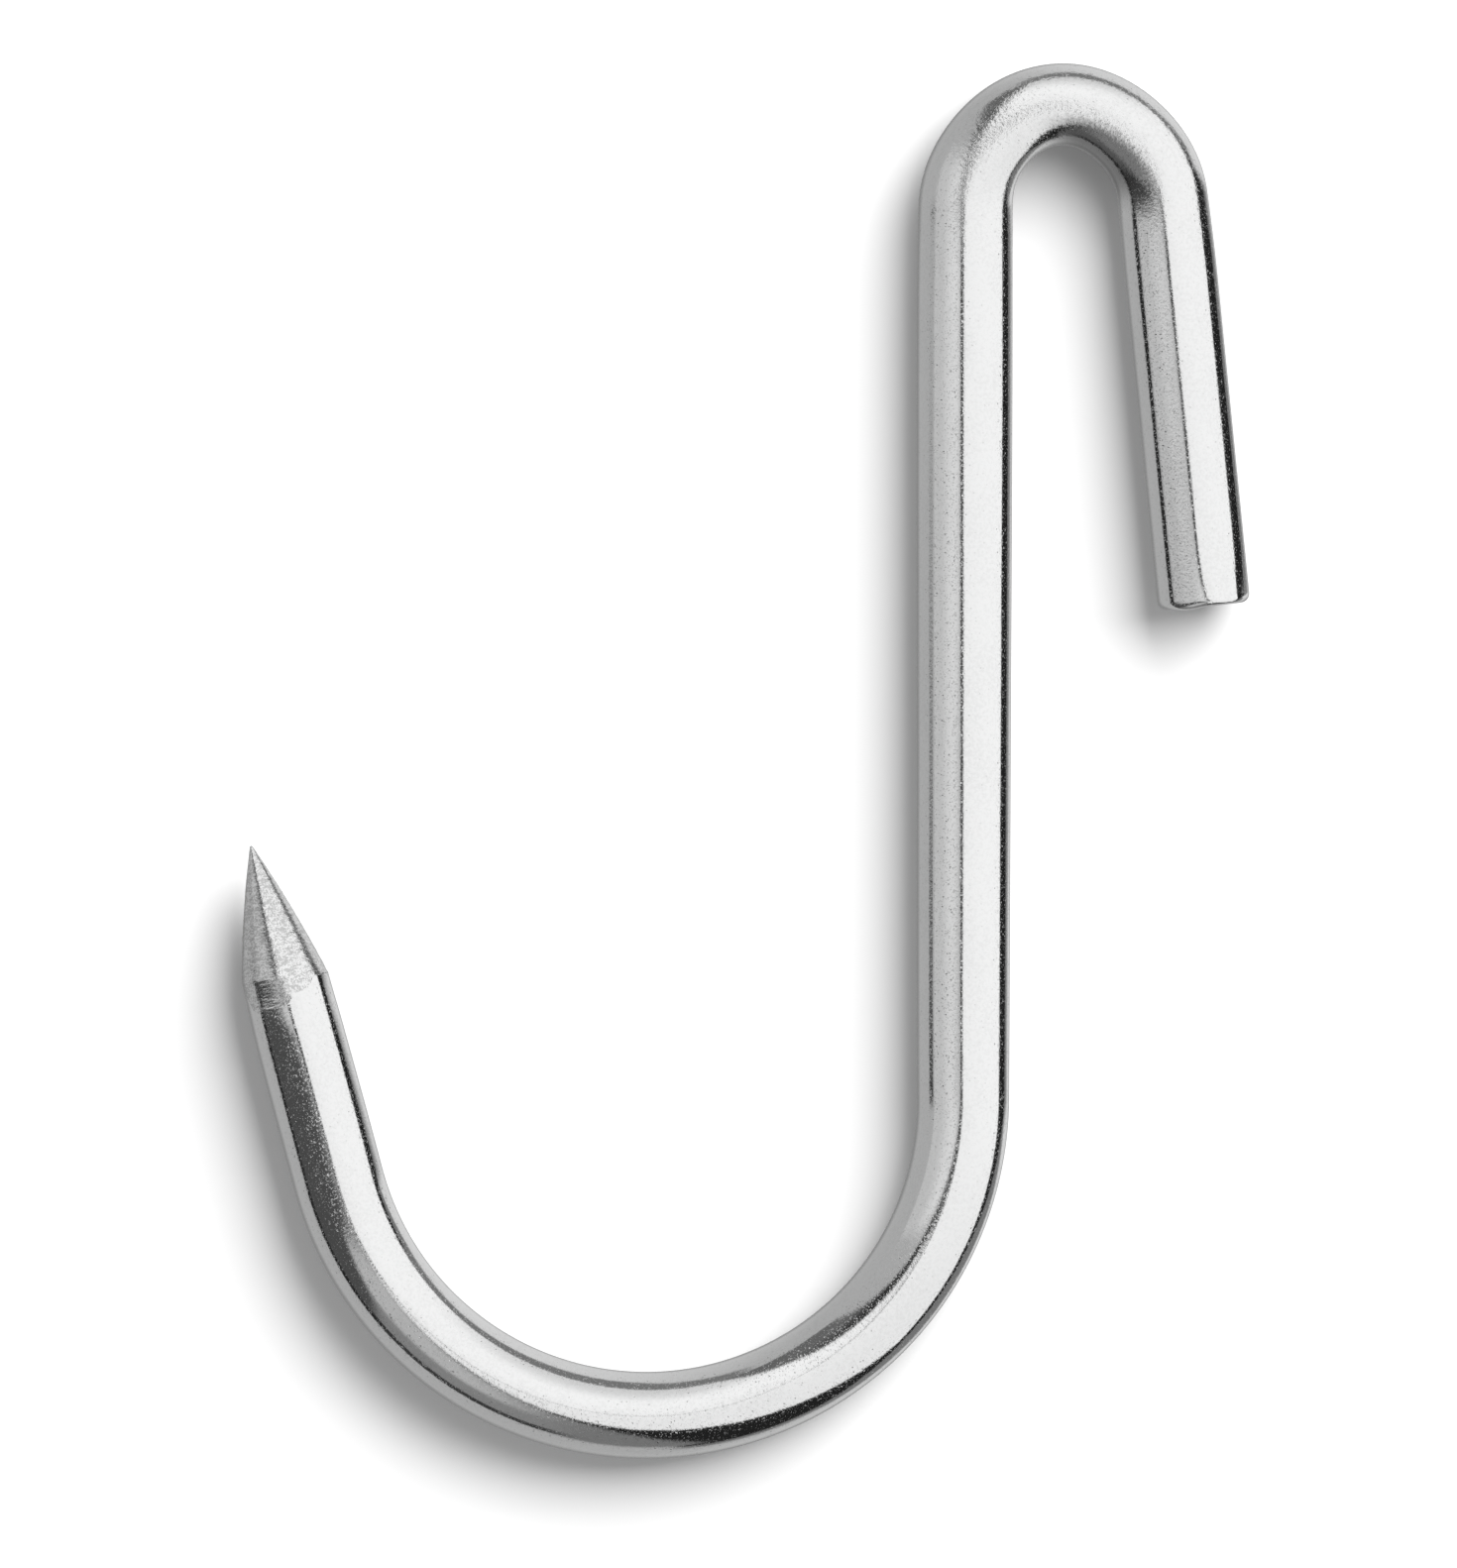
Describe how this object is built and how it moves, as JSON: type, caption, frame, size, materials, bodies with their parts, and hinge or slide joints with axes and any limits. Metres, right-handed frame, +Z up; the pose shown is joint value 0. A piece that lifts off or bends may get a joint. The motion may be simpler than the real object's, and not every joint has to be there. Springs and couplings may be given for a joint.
{
  "type": "meat hook",
  "caption": "Solid round-rod meat hook with a narrow rail bend, a straight shank, a wide open bowl and a ground conical point.",
  "frame": {"origin": "the seat: the inner side of the rail bend's crown, where the hook rests on the rail", "axes": "+Z up along the shank, +X from the shank towards the short leg, +Y across the hook's plane; the hook hangs as in use"},
  "size_m": [0.0867, 0.0084, 0.12],
  "materials": {
    "stainless_steel": "polished, with a fine satin grain; the point is left as ground"
  },
  "bodies": {
    "root": {"hook": "stainless_steel"}
  },
  "joints": []
}
